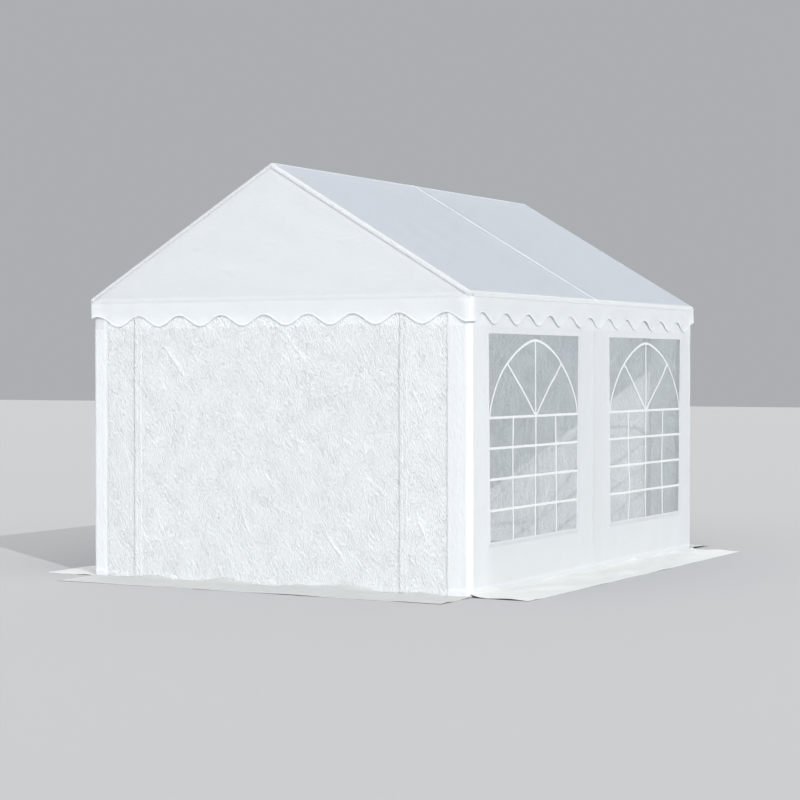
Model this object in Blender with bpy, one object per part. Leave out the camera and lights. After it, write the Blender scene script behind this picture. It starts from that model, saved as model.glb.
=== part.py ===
"""A 3 x 4 m marquee tent: a white steel tube frame under a white tarpaulin cover.

The frame is three arches (post, rafter, rafter, post) joined by eave rails, a ridge rail and a bar
across each gable, all pushed into socketed sleeves. The cloth hangs on it: two roof slopes rounded
over the outer tubes, a triangle in each gable, a scalloped valance all round, four long wall panels
with a clear window each, two gable walls with a door flap, and a skirt on the ground.

X runs across the gable, Y along the ridge, and Z up from the ground at the middle of the floor. The
gable at -Y is the front and the side at +X the right. The tent looks the same after half a turn
about Z, so the back and the left repeat the front and the right.
"""

import math

import bmesh
import bpy
import numpy as np
from mathutils import Vector

# Driving dimensions, in metres
WIDTH = 3.0
LENGTH = 4.0
EAVE_HEIGHT = 1.965
RIDGE_HEIGHT = 2.863
COVER_OVERHANG = 0.02

SHEET = 0.003
FILM = 0.002
GAP = 0.0003

TUBE_RADIUS = 0.019
TUBE_WALL = 0.001
SLEEVE_RADIUS = 0.022
SOCKET_RADIUS = TUBE_RADIUS + GAP
SLEEVE_STEP = 0.0001
SLEEVE_LENGTH = 0.09
SOCKET_START = 0.03
CORNER_SLEEVE_LENGTH = 0.14
CORNER_SOCKET_START = 0.08
TUBE_SIDES = 12

FOOT_PLATE = 0.10
FOOT_THICKNESS = 0.004
FOOT_REACH = 0.021
FOOT_CORNER_CUT = 0.014
PEG_HOLE_RADIUS = 0.006
PEG_HOLE_INSET = 0.018

EDGE_LIP = 0.02
PANEL_OVERLAP = 0.02
SCALLOP_PERIOD = 0.3465
SCALLOP_TROUGH = 1.765
SCALLOP_CREST = 1.838
SCALLOP_STEPS = 8

WALL_TOP = 1.955
WIDE_CORNER_BAND = 0.17
NARROW_CORNER_BAND = 0.13
WALL_SEAM = -0.03
WINDOW_WIDTH = 1.435
WINDOW_CENTRE = 1.0125
WINDOW_SILL = 0.333
WINDOW_HEAD = 1.704
FILM_OVERLAP = 0.015

GABLE_WALL_REACH = 1.40
DOOR_LEFT = -1.137
DOOR_RIGHT = 1.006
DOOR_HEAD = 1.87
DOOR_FOOT = 0.002

SKIRT_WIDTH = 0.42

# Sizes that follow from them
SHEET_BEND = SLEEVE_RADIUS + GAP + SHEET
EDGE_X = WIDTH / 2 + COVER_OVERHANG - SHEET_BEND
EDGE_Y = LENGTH / 2 + COVER_OVERHANG - SHEET_BEND
RIDGE_Z = RIDGE_HEIGHT - SHEET_BEND
WALL_X = WIDTH / 2
WALL_Y = LENGTH / 2
POST_X = WALL_X - SHEET_BEND
POST_Y = WALL_Y - SHEET_BEND - SHEET - GAP


def eave_edge_height():
    """Height of the line that the roof's eave edge is rounded about.

    The flat roof and the hanging valance, both stretched to a sharp corner, meet at EAVE_HEIGHT. The
    corner lies SHEET_BEND * tan(half the angle between their normals) above that line, and the
    pitch itself depends on the line's height, so a few rounds settle it.
    """
    height = EAVE_HEIGHT
    for _ in range(20):
        pitch = math.atan2(RIDGE_Z - height, EDGE_X)
        height = EAVE_HEIGHT - SHEET_BEND * math.tan((math.pi / 2 - pitch) / 2)
    return height


EDGE_Z = eave_edge_height()
PITCH = math.atan2(RIDGE_Z - EDGE_Z, EDGE_X)
EAVE_Z = RIDGE_Z - POST_X * math.tan(PITCH)


def clear_scene():
    for thing in list(bpy.data.objects):
        bpy.data.objects.remove(thing)


def make_material(name, colour, roughness, metallic=0.0, alpha=1.0):
    material = bpy.data.materials.new(name)
    material.use_nodes = True
    shader = material.node_tree.nodes["Principled BSDF"]
    shader.inputs["Base Color"].default_value = (*colour, 1.0)
    shader.inputs["Roughness"].default_value = roughness
    shader.inputs["Metallic"].default_value = metallic
    shader.inputs["Alpha"].default_value = alpha
    material.diffuse_color = (*colour, alpha)
    return material


def make_object(name, points, faces, material):
    """Make an object from points and faces, with its doubles merged and its faces turned outwards."""
    mesh = bpy.data.meshes.new(name)
    mesh.from_pydata([tuple(point) for point in points], [], faces)
    work = bmesh.new()
    work.from_mesh(mesh)
    bmesh.ops.remove_doubles(work, verts=work.verts, dist=0.00001)
    bmesh.ops.recalc_face_normals(work, faces=work.faces)
    work.to_mesh(mesh)
    work.free()
    thing = bpy.data.objects.new(name, mesh)
    bpy.context.scene.collection.objects.link(thing)
    if material:
        mesh.materials.append(material)
    return thing


def shade_round(thing, angle=math.radians(40)):
    thing.data.shade_smooth()
    thing.data.set_sharp_from_angle(angle=angle)


def sheet_solid(name, outer, inner, material, holes=()):
    """Close two matching grids of points, outer[row][column] and inner, into one thin solid.

    A cell named in holes, as (row, column), is left open, and its edges get a rim like the sheet's.
    """
    rows, columns = outer.shape[:2]
    points = np.concatenate([outer.reshape(-1, 3), inner.reshape(-1, 3)])
    inner_start = rows * columns
    kept = {
        (row, column)
        for row in range(rows - 1)
        for column in range(columns - 1)
        if (row, column) not in holes
    }
    faces = []
    for row, column in sorted(kept):
        corners = [(row, column), (row, column + 1), (row + 1, column + 1), (row + 1, column)]
        indices = [r * columns + c for r, c in corners]
        faces.append(indices)
        faces.append([inner_start + index for index in reversed(indices)])
        neighbours = [(row - 1, column), (row, column + 1), (row + 1, column), (row, column - 1)]
        for side, neighbour in enumerate(neighbours):
            if neighbour not in kept:
                first, second = indices[side], indices[(side + 1) % 4]
                faces.append([second, first, inner_start + first, inner_start + second])
    return make_object(name, points, faces, material)


def prism_frame(direction):
    """Two directions square to a tube's, the same for both ways along it, so that facets line up."""
    along = Vector(direction).normalized()
    first = Vector((1, 0, 0)) if abs(along.y) > 0.5 else Vector((0, 1, 0))
    return first, along.cross(first)


def ring(centre, direction, radius):
    first, second = prism_frame(direction)
    angles = [2 * math.pi * side / TUBE_SIDES for side in range(TUBE_SIDES)]
    return [
        Vector(centre) + radius * (math.cos(angle) * first + math.sin(angle) * second)
        for angle in angles
    ]


def hollow_tube(name, start, end, material=None):
    """A tube open at both ends."""
    direction = Vector(end) - Vector(start)
    inside = TUBE_RADIUS - TUBE_WALL
    rings = [
        ring(start, direction, TUBE_RADIUS),
        ring(end, direction, TUBE_RADIUS),
        ring(end, direction, inside),
        ring(start, direction, inside),
    ]
    points = [point for one_ring in rings for point in one_ring]
    faces = []
    for band in range(4):
        this_ring = band * TUBE_SIDES
        next_ring = (band + 1) % 4 * TUBE_SIDES
        for side in range(TUBE_SIDES):
            after = (side + 1) % TUBE_SIDES
            faces.append([this_ring + side, this_ring + after, next_ring + after, next_ring + side])
    tube = make_object(name, points, faces, material)
    shade_round(tube)
    return tube


def solid_bar(name, start, end, radius, material=None):
    direction = Vector(end) - Vector(start)
    points = ring(start, direction, radius) + ring(end, direction, radius)
    faces = [list(range(TUBE_SIDES)), list(range(TUBE_SIDES, 2 * TUBE_SIDES))]
    for side in range(TUBE_SIDES):
        after = (side + 1) % TUBE_SIDES
        faces.append([side, after, TUBE_SIDES + after, TUBE_SIDES + side])
    return make_object(name, points, faces, material)


def combine(base, others, operation):
    """Join or cut solids one after another, and leave the result in base's own mesh."""
    for other in others:
        modifier = base.modifiers.new(operation.title(), "BOOLEAN")
        modifier.operation = operation
        modifier.solver = "EXACT"
        modifier.object = other
        evaluated = base.evaluated_get(bpy.context.evaluated_depsgraph_get())
        result = bpy.data.meshes.new_from_object(evaluated)
        base.modifiers.remove(modifier)
        base.data = result
        bpy.data.objects.remove(other)
    return base


def sleeve_connector(name, centre, arms, material):
    """Sleeves that meet in a knuckle, each with a socket for a tube.

    arms is a list of (direction, sleeve length, where its socket starts). Each sleeve is SLEEVE_STEP
    thinner than the one before, so that no two surfaces meet exactly where they cross.
    """
    centre = Vector(centre)
    knuckle = make_knuckle(name, centre, material)
    sleeves = []
    sockets = []
    for number, (direction, length, socket_start) in enumerate(arms):
        along = Vector(direction).normalized()
        mouth = centre + along * length
        radius = SLEEVE_RADIUS - number * SLEEVE_STEP
        start = centre + along * SLEEVE_STEP * (number + 1)
        sleeves.append(solid_bar(f"{name}_sleeve_{number}", start, mouth, radius))
        past_mouth = mouth + along * SLEEVE_RADIUS
        bottom = centre + along * socket_start
        sockets.append(solid_bar(f"{name}_socket_{number}", bottom, past_mouth, SOCKET_RADIUS))
    combine(knuckle, sleeves, "UNION")
    combine(knuckle, sockets, "DIFFERENCE")
    shade_round(knuckle)
    return knuckle


def make_knuckle(name, centre, material):
    work = bmesh.new()
    bmesh.ops.create_uvsphere(work, u_segments=TUBE_SIDES, v_segments=8, radius=SLEEVE_RADIUS * 0.99)
    bmesh.ops.translate(work, verts=work.verts, vec=centre)
    mesh = bpy.data.meshes.new(name)
    work.to_mesh(mesh)
    work.free()
    mesh.materials.append(material)
    knuckle = bpy.data.objects.new(name, mesh)
    bpy.context.scene.collection.objects.link(knuckle)
    return knuckle


def box(name, low, high, material=None):
    corners = [(x, y, z) for x in (low[0], high[0]) for y in (low[1], high[1]) for z in (low[2], high[2])]
    faces = [[0, 1, 3, 2], [4, 6, 7, 5], [0, 4, 5, 1], [2, 3, 7, 6], [0, 2, 6, 4], [1, 5, 7, 3]]
    return make_object(name, corners, faces, material)


def foot_outline(is_corner):
    """The foot plate's outline about its post: inwards across the tent, then inwards along it."""
    outer, inner = -FOOT_REACH, FOOT_PLATE - FOOT_REACH
    if is_corner:
        cut = outer + FOOT_CORNER_CUT
        return [(cut, outer), (inner, outer), (inner, inner), (outer, inner), (outer, cut)]
    half = FOOT_PLATE / 2
    return [(outer, -half), (inner, -half), (inner, half), (outer, half)]


def make_post(name, x, y, material):
    """A post on a foot plate that reaches inwards, with two peg holes along its inner edge."""
    across = -math.copysign(1, x)
    along = -math.copysign(1, y)
    outline = foot_outline(is_corner=y != 0)
    corners = [(x + across * a, y + along * b) for a, b in outline]
    count = len(corners)
    points = [(cx, cy, z) for z in (0, FOOT_THICKNESS) for cx, cy in corners]
    faces = [list(range(count)), list(range(count, 2 * count))]
    for first in range(count):
        second = (first + 1) % count
        faces.append([first, second, count + second, count + first])
    plate = make_object(f"{name}_plate", points, faces, None)
    top = EAVE_Z - SOCKET_START - GAP
    post = hollow_tube(name, (x, y, FOOT_THICKNESS / 2), (x, y, top), material)
    combine(post, [plate], "UNION")
    hole_x = x + across * (FOOT_PLATE - FOOT_REACH - PEG_HOLE_INSET)
    hole_ends = (min(cy for _, cy in corners), max(cy for _, cy in corners))
    holes = []
    for hole_y in (hole_ends[0] + PEG_HOLE_INSET, hole_ends[1] - PEG_HOLE_INSET):
        start = (hole_x, hole_y, -FOOT_THICKNESS)
        end = (hole_x, hole_y, 2 * FOOT_THICKNESS)
        holes.append(solid_bar(f"{name}_peg", start, end, PEG_HOLE_RADIUS))
    combine(post, holes, "DIFFERENCE")
    shade_round(post)
    return post


def make_frame(steel, fitting):
    """Posts, rails, rafters and gable bars, and the sleeves that they are pushed into."""
    down = (0, 0, -1)
    mid_start = SOCKET_START + GAP
    corner_start = CORNER_SOCKET_START + GAP
    arches = (("front", -POST_Y), ("mid", 0.0), ("back", POST_Y))
    for arch, y in arches:
        along_y = [(0, step, 0) for step in (-1, 1) if abs(y + step * POST_Y) <= POST_Y]
        rails = [(direction, SLEEVE_LENGTH, SOCKET_START) for direction in along_y]
        is_gable = arch != "mid"
        for side, sign in (("left", -1), ("right", 1)):
            x = sign * POST_X
            eave = Vector((x, y, EAVE_Z))
            upward = Vector((-sign * math.cos(PITCH), 0, math.sin(PITCH)))
            inward = Vector((-sign, 0, 0))
            arms = [(down, SLEEVE_LENGTH, SOCKET_START), *rails]
            if is_gable:
                arms.append((upward, CORNER_SLEEVE_LENGTH, CORNER_SOCKET_START))
                arms.append((inward, CORNER_SLEEVE_LENGTH, CORNER_SOCKET_START))
            else:
                arms.append((upward, SLEEVE_LENGTH, SOCKET_START))
            sleeve_connector(f"eave_connector_{arch}_{side}", eave, arms, fitting)
            make_post(f"post_{arch}_{side}", x, y, steel)
            ridge = Vector((0, y, RIDGE_Z))
            rafter_foot = eave + upward * (corner_start if is_gable else mid_start)
            hollow_tube(f"rafter_{arch}_{side}", rafter_foot, ridge - upward * mid_start, steel)
        slopes = [
            ((sign * math.cos(PITCH), 0, -math.sin(PITCH)), SLEEVE_LENGTH, SOCKET_START)
            for sign in (-1, 1)
        ]
        sleeve_connector(f"ridge_connector_{arch}", (0, y, RIDGE_Z), slopes + rails, fitting)
        if is_gable:
            reach = POST_X - corner_start
            hollow_tube(f"gable_bar_{arch}", (-reach, y, EAVE_Z), (reach, y, EAVE_Z), steel)
    for bay, sign in (("front", -1), ("back", 1)):
        ends = (sign * mid_start, sign * (POST_Y - mid_start))
        for side, x in (("left", -POST_X), ("right", POST_X)):
            hollow_tube(f"eave_rail_{side}_{bay}", (x, ends[0], EAVE_Z), (x, ends[1], EAVE_Z), steel)
        hollow_tube(f"ridge_rail_{bay}", (0, ends[0], RIDGE_Z), (0, ends[1], RIDGE_Z), steel)


def roof_profile():
    """The roof slope's section, from ridge to eave: (x, z) of the line it bends about, and its normal's angle."""
    slope_angle = math.pi / 2 - PITCH
    lip_end_x = EDGE_X * (RIDGE_Z - EDGE_Z - EDGE_LIP) / (RIDGE_Z - EDGE_Z)
    profile = [(GAP / 2, RIDGE_Z, angle) for angle in np.linspace(math.pi / 2, slope_angle, 4)]
    profile.append((lip_end_x, EDGE_Z + EDGE_LIP, slope_angle))
    profile += [(EDGE_X, EDGE_Z, angle) for angle in np.linspace(slope_angle, 0, 5)]
    return profile


def make_roof_slope(name, sign, cloth):
    """One slope, rounded over the ridge, the eave and both gable edges, with a lip down each gable."""
    profile = roof_profile()
    bends = [(-EDGE_Y, angle) for angle in np.radians(np.linspace(-90, 0, 5))]
    bends += [(EDGE_Y, angle) for angle in np.radians(np.linspace(0, 90, 5))]
    surfaces = []
    for radius in (SHEET_BEND, SHEET_BEND - SHEET):
        rows = []
        for x, z, angle in profile:
            row = [
                (
                    x + radius * math.cos(bend) * math.cos(angle),
                    y + radius * math.sin(bend),
                    z + radius * math.cos(bend) * math.sin(angle),
                )
                for y, bend in bends
            ]
            lip_z = max(z - EDGE_LIP, EDGE_Z)
            row.insert(0, (x, -EDGE_Y - radius, lip_z))
            row.append((x, EDGE_Y + radius, lip_z))
            rows.append(row)
        surfaces.append(np.array(rows) * (sign, 1, 1))
    roof = sheet_solid(name, surfaces[0], surfaces[1], cloth)
    shade_round(roof)
    return roof


def scallop_height(distance):
    """Height of the valance's lower edge, at a distance from the corner where a trough sits."""
    middle = (SCALLOP_CREST + SCALLOP_TROUGH) / 2
    swing = (SCALLOP_CREST - SCALLOP_TROUGH) / 2
    return middle - swing * math.cos(2 * math.pi * distance / SCALLOP_PERIOD)


def scallop_stations(length):
    step = SCALLOP_PERIOD / SCALLOP_STEPS
    whole_steps = int(length / step)
    return [step * number for number in range(whole_steps + 1)] + [length]


def hanging_strip(name, outer_plan, inner_plan, lows, high, turned, cloth):
    """A strip that hangs along a path in plan, with its own lower edge at each point of the path."""
    surfaces = []
    for plan in (outer_plan, inner_plan):
        low_row = [(x, y, low) for (x, y), low in zip(plan, lows)]
        high_row = [(x, y, high) for x, y in plan]
        surfaces.append(np.array([low_row, high_row]) * turned)
    strip = sheet_solid(name, surfaces[0], surfaces[1], cloth)
    shade_round(strip)
    return strip


def make_side_valance(name, turned, cloth):
    """The right side's valance, from its trough at the front corner to the back; turned repeats it."""
    stations = scallop_stations(2 * EDGE_Y)
    outer_x = EDGE_X + SHEET_BEND
    outer = [(outer_x, station - EDGE_Y) for station in stations]
    inner = [(outer_x - SHEET, station - EDGE_Y) for station in stations]
    lows = [scallop_height(station) for station in stations]
    return hanging_strip(name, outer, inner, lows, EDGE_Z - GAP, turned, cloth)


def make_gable_valance(name, turned, cloth):
    """The front gable's valance, with both rounded corners; its trough is at the right one."""
    stations = scallop_stations(2 * EDGE_X)
    corner = np.radians(np.linspace(0, 90, 5))
    end_y = -EDGE_Y - GAP
    plans = []
    for radius in (SHEET_BEND, SHEET_BEND - SHEET):
        right = [(EDGE_X + radius * math.cos(a), end_y - (radius - GAP) * math.sin(a)) for a in corner[:-1]]
        flat = [(EDGE_X - station, end_y - radius + GAP) for station in stations]
        left = [(-x, y) for x, y in reversed(right)]
        plans.append(right + flat + left)
    trough, end = scallop_height(0), scallop_height(stations[-1])
    lows = [trough] * 4 + [scallop_height(station) for station in stations] + [end] * 4
    return hanging_strip(name, plans[0], plans[1], lows, EDGE_Z - GAP, turned, cloth)


def make_gable_panel(name, turned, cloth):
    """The triangle that closes a gable, its edges tucked behind the roof's lip and the valance."""
    outer_y = -(EDGE_Y + SHEET_BEND - SHEET - GAP)
    foot = EDGE_Z - PANEL_OVERLAP
    surfaces = []
    for y in (outer_y, outer_y + SHEET):
        low_row = [(-EDGE_X, y, foot), (0, y, foot), (EDGE_X, y, foot)]
        high_row = [(-EDGE_X, y, EDGE_Z), (0, y, RIDGE_Z), (EDGE_X, y, EDGE_Z)]
        surfaces.append(np.array([low_row, high_row]) * turned)
    return sheet_solid(name, surfaces[0], surfaces[1], cloth)


def make_long_wall(name, end, band, seam, turned, cloth):
    """Half a long side with its window, and the band that it wraps round the corner post.

    The plan runs from the band's edge on the gable, round the post and along X = WALL_X to the seam.
    end is -1 for the front half and 1 for the back half.
    """
    bend_y = end * (WALL_Y - SHEET_BEND)
    corner = np.radians(np.linspace(90, 0, 5))
    plans = []
    for radius in (SHEET_BEND, SHEET_BEND - SHEET):
        across = [(WALL_X - band, bend_y + end * radius)]
        round_post = [
            (POST_X + radius * math.cos(angle), bend_y + end * radius * math.sin(angle))
            for angle in corner
        ]
        face_x = POST_X + radius
        window = [
            (face_x, end * (WINDOW_CENTRE + WINDOW_WIDTH / 2)),
            (face_x, end * (WINDOW_CENTRE - WINDOW_WIDTH / 2)),
        ]
        plans.append(across + round_post + window + [(face_x, seam)])
    heights = (0, WINDOW_SILL, WINDOW_HEAD, WALL_TOP)
    surfaces = [
        np.array([[(x, y, height) for x, y in plan] for height in heights]) * turned for plan in plans
    ]
    window_cell = (1, len(plans[0]) - 3)
    wall = sheet_solid(name, surfaces[0], surfaces[1], cloth, holes=[window_cell])
    shade_round(wall)
    return wall


def make_window_film(name, x_sign, y_sign, film):
    """The clear film sewn behind a window opening."""
    outer_x = WALL_X - SHEET - GAP
    near = WINDOW_CENTRE - WINDOW_WIDTH / 2 - FILM_OVERLAP
    far = WINDOW_CENTRE + WINDOW_WIDTH / 2 + FILM_OVERLAP
    xs = sorted((x_sign * (outer_x - FILM), x_sign * outer_x))
    ys = sorted((y_sign * near, y_sign * far))
    low = (xs[0], ys[0], WINDOW_SILL - FILM_OVERLAP)
    high = (xs[1], ys[1], WINDOW_HEAD + FILM_OVERLAP)
    return box(name, low, high, film)


def make_gable_wall(name, turned, cloth):
    """The gable wall, a sheet cut from the ground up to DOOR_HEAD for its door flap."""
    outer_y = -(WALL_Y - SHEET - GAP)
    across = (-GABLE_WALL_REACH, DOOR_LEFT, DOOR_RIGHT, GABLE_WALL_REACH)
    heights = (0, DOOR_HEAD, WALL_TOP)
    surfaces = [
        np.array([[(x, y, height) for x in across] for height in heights]) * turned
        for y in (outer_y, outer_y + SHEET)
    ]
    return sheet_solid(name, surfaces[0], surfaces[1], cloth, holes=[(0, 1)])


def make_door_flap(name, turned, cloth):
    outer_y = -(WALL_Y - SHEET - GAP)
    xs = sorted((turned[0] * (DOOR_LEFT + GAP), turned[0] * (DOOR_RIGHT - GAP)))
    ys = sorted((turned[1] * outer_y, turned[1] * (outer_y + SHEET)))
    return box(name, (xs[0], ys[0], DOOR_FOOT), (xs[1], ys[1], DOOR_HEAD - GAP), cloth)


def make_skirts(cloth):
    """A strip on the ground along each wall, as long as the wall and with square ends."""
    for side, sign in (("left", -1), ("right", 1)):
        xs = sorted((sign * (WALL_X + GAP), sign * (WALL_X + SKIRT_WIDTH)))
        box(f"skirt_{side}", (xs[0], -WALL_Y, 0), (xs[1], WALL_Y, SHEET), cloth)
    for end, sign in (("front", -1), ("back", 1)):
        ys = sorted((sign * (WALL_Y + GAP), sign * (WALL_Y + SKIRT_WIDTH)))
        box(f"skirt_{end}", (-WALL_X, ys[0], 0), (WALL_X, ys[1], SHEET), cloth)


def make_cover(cloth, roof_cloth, film):
    """All the cloth. A piece made for the front or the right is turned half round for the other."""
    as_made = (1, 1, 1)
    half_turn = (-1, -1, 1)
    make_roof_slope("roof_slope_right", 1, roof_cloth)
    make_roof_slope("roof_slope_left", -1, roof_cloth)
    for gable, turned in (("front", as_made), ("back", half_turn)):
        make_gable_panel(f"gable_panel_{gable}", turned, cloth)
        make_gable_valance(f"valance_{gable}", turned, cloth)
        make_gable_wall(f"gable_wall_{gable}", turned, cloth)
        make_door_flap(f"door_flap_{gable}", turned, cloth)
    near_seam, far_seam = WALL_SEAM - GAP / 2, WALL_SEAM + GAP / 2
    sides = (("right", as_made, ("front", "back")), ("left", half_turn, ("back", "front")))
    for side, turned, (first, second) in sides:
        make_side_valance(f"valance_{side}", turned, cloth)
        make_long_wall(f"wall_{side}_{first}", -1, WIDE_CORNER_BAND, near_seam, turned, cloth)
        make_long_wall(f"wall_{side}_{second}", 1, NARROW_CORNER_BAND, far_seam, turned, cloth)
        for end, y_sign in (("front", -1), ("back", 1)):
            make_window_film(f"window_{side}_{end}", turned[0], y_sign, film)
    make_skirts(cloth)


def main():
    clear_scene()
    steel = make_material("white_coated_steel", (0.80, 0.81, 0.82), 0.35, 0.2)
    fitting = make_material("coated_fitting", (0.74, 0.75, 0.76), 0.4, 0.2)
    cloth = make_material("wall_tarpaulin", (0.79, 0.83, 0.86), 0.5)
    roof_cloth = make_material("roof_tarpaulin", (0.76, 0.80, 0.84), 0.5)
    film = make_material("window_film", (0.72, 0.77, 0.79), 0.1, alpha=0.35)
    make_frame(steel, fitting)
    make_cover(cloth, roof_cloth, film)


main()
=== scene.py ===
# %% [markdown]
# # A party marquee, 3 x 4 m
#
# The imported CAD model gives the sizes, and this lesson gives the looks. The steel frame stays as it is
# and gets a painted finish. All the cloth, which the CAD model has as plain plates, is made again as
# thin sheets with their creases, hems and seams. Each new sheet is worked out with numpy as a grid of
# points, put into a mesh in one go, and stands for the CAD plate in the same place.

# %% Load the frame
import math
from functools import partialmethod

import bmesh
import bpy
import numpy as np
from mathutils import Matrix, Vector


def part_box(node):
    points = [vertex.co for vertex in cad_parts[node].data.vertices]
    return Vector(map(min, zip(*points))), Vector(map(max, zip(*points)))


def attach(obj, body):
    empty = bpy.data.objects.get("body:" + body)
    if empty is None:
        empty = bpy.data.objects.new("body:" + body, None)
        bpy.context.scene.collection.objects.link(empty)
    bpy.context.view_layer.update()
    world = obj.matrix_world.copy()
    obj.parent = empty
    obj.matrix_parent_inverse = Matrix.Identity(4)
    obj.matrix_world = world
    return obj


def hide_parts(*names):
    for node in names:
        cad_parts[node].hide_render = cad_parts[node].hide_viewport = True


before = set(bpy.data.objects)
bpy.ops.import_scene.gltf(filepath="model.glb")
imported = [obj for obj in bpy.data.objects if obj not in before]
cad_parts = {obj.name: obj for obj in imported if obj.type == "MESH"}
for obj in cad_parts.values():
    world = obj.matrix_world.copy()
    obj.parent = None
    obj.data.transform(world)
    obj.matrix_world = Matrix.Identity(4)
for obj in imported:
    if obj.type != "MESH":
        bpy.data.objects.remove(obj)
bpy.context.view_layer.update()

# %% [markdown]
# ## Measures
#
# X runs across the gable, Y along the ridge and Z up. The gable at -Y is the front and the side at +X
# the right. The tent looks the same after half a turn about Z, so what is worked out for the front and
# the right also makes the back and the left. The main measures are read off the CAD nodes' boxes.

# %% Measures read from the CAD nodes
_, roof_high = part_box("roof_slope_right")
wall_low, wall_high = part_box("wall_right_front")
back_wall_low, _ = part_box("wall_right_back")
film_low, film_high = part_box("window_right_front")
gable_low, gable_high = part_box("gable_wall_front")
door_low, door_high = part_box("door_flap_front")
skirt_low, skirt_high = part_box("skirt_right")
valance_low, valance_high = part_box("valance_right")

BEND = 0.0253  # radius of the cloth where it goes round an outer tube
QUARTER = BEND * math.pi / 2  # its length over a quarter turn
EDGE_X = roof_high.x - BEND  # the lines that the roof's edges are rounded about
EDGE_Y = roof_high.y - BEND
EDGE_Z = valance_high.z
RIDGE_Z = roof_high.z - BEND
PITCH = math.atan2(RIDGE_Z - EDGE_Z, EDGE_X)
SLOPE = (RIDGE_Z - EDGE_Z) / math.sin(PITCH)
WALL_X = wall_high.x
WALL_Y = -wall_low.y
WALL_TOP = wall_high.z
GABLE_WALL_Y = -gable_low.y
EAVE_HEIGHT = 1.965
AS_MADE = np.array([1.0, 1.0, 1.0])
HALF_TURN = np.array([-1.0, -1.0, 1.0])  # half a turn about Z changes the signs of x and y
print(f"pitch {math.degrees(PITCH):.1f} degrees, slope {SLOPE:.3f} m, eave edge {EDGE_Z:.3f} m")

# %% [markdown]
# ## Lines and grids
#
# Every sheet begins as two lists of places, one for its columns and one for its rows. They are close
# together where the cloth bends or has a seam, and wide apart where it is plain. Two curves serve all
# over: smooth goes from 0 to 1 between two places, and bell is a single hump.

# %% Helpers for lines and grids
TOUCH = 1e-5  # places nearer to each other than this count as the same


def stations(*breaks, step):
    """Places along a line: every break, and even steps of at most step between two breaks."""
    parts = [
        np.linspace(low, high, max(1, math.ceil((high - low) / step - 1e-6)) + 1)
        for low, high in zip(breaks, breaks[1:])
    ]
    return np.unique(np.concatenate(parts).round(7))


def joined(*lines):
    """Several lists of places as one, sorted and without doubles."""
    return np.unique(np.concatenate(lines))


def both_ways(half):
    """Places from 0 outwards, with the same places below 0 before them."""
    return np.concatenate([-half[:0:-1], half])


def stacked(*grids):
    """Grids of numbers put together as one grid of points or of places."""
    return np.stack(np.broadcast_arrays(*grids), axis=-1)


def placed(x, y, z, normal, turned):
    """Points at x, y and z with one normal for all, both as made or after half a turn about Z."""
    points = stacked(x, y, z) * turned
    return points, np.broadcast_to(np.array(normal) * turned, points.shape)


def cells(inside):
    """The grid's cells whose four corners are all inside."""
    return inside[:-1, :-1] & inside[:-1, 1:] & inside[1:, 1:] & inside[1:, :-1]


def smooth(value, low, high):
    """0 below low, 1 above high, and the cubic 3t^2 - 2t^3 between them; low may be the greater one."""
    t = np.clip((value - low) / (high - low), 0, 1)
    return t * t * (3 - 2 * t)


def bell(value, width, power=2):
    """exp(-(value / width)^power): 1 in the middle, and next to nothing at twice the width."""
    return np.exp(-((value / width) ** power))


print("stations on 1 m, at most 0.3 m apart:", stations(0, 1, step=0.3))

# %% [markdown]
# ## Sheets from grids
#
# A tarpaulin is a sheet 1 to 2 mm thick. A plane with a Solidify modifier would do, but the rim's
# shading needs care, so the three parts of a sheet are written out: the outer face is the grid, the
# inner face is the same grid moved in along its normals, and a rim joins the two wherever a cell has
# no neighbour. The grid's place on the flat cloth, in metres, becomes the UV map, so that weave and
# stitches keep their true size however the cloth is bent. Two numbers go with every point. Tone
# multiplies the cloth's colour, and is higher where hems, seams and creases look paler. Hem is 1 where
# the roof's cloth lies double.

# %% Make a sheet
CLOTH = 0.0015
MERGE = 0.00002
SHARP = math.radians(40)


def rim_edges(quads):
    """The directed edges that only one quad has: all edges, sorted, and those that appear once."""
    edges = np.concatenate([quads[:, [side, (side + 1) % 4]] for side in range(4)])
    _, first, times = np.unique(np.sort(edges, axis=1), axis=0, return_index=True, return_counts=True)
    return edges[first[times == 1]]


def put_mesh(name, points, faces, places, marks, material):
    """Put points and quads into a mesh object, with its UV map and its point attributes."""
    mesh = bpy.data.meshes.new(name)
    mesh.from_pydata(points.tolist(), [], faces.tolist())
    layer = mesh.uv_layers.new(name="flat")
    layer.data.foreach_set("uv", places[faces.ravel()].astype(np.float32).ravel())
    for mark, values in marks.items():
        attribute = mesh.attributes.new(mark, "FLOAT", "POINT")
        attribute.data.foreach_set("value", values.astype(np.float32))
    work = bmesh.new()
    work.from_mesh(mesh)
    bmesh.ops.remove_doubles(work, verts=work.verts, dist=MERGE)
    work.to_mesh(mesh)
    work.free()
    mesh.shade_smooth()
    mesh.set_sharp_from_angle(angle=SHARP)
    mesh.materials.append(material)
    piece = bpy.data.objects.new(name, mesh)
    bpy.context.scene.collection.objects.link(piece)
    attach(piece, "root")
    return piece


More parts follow.
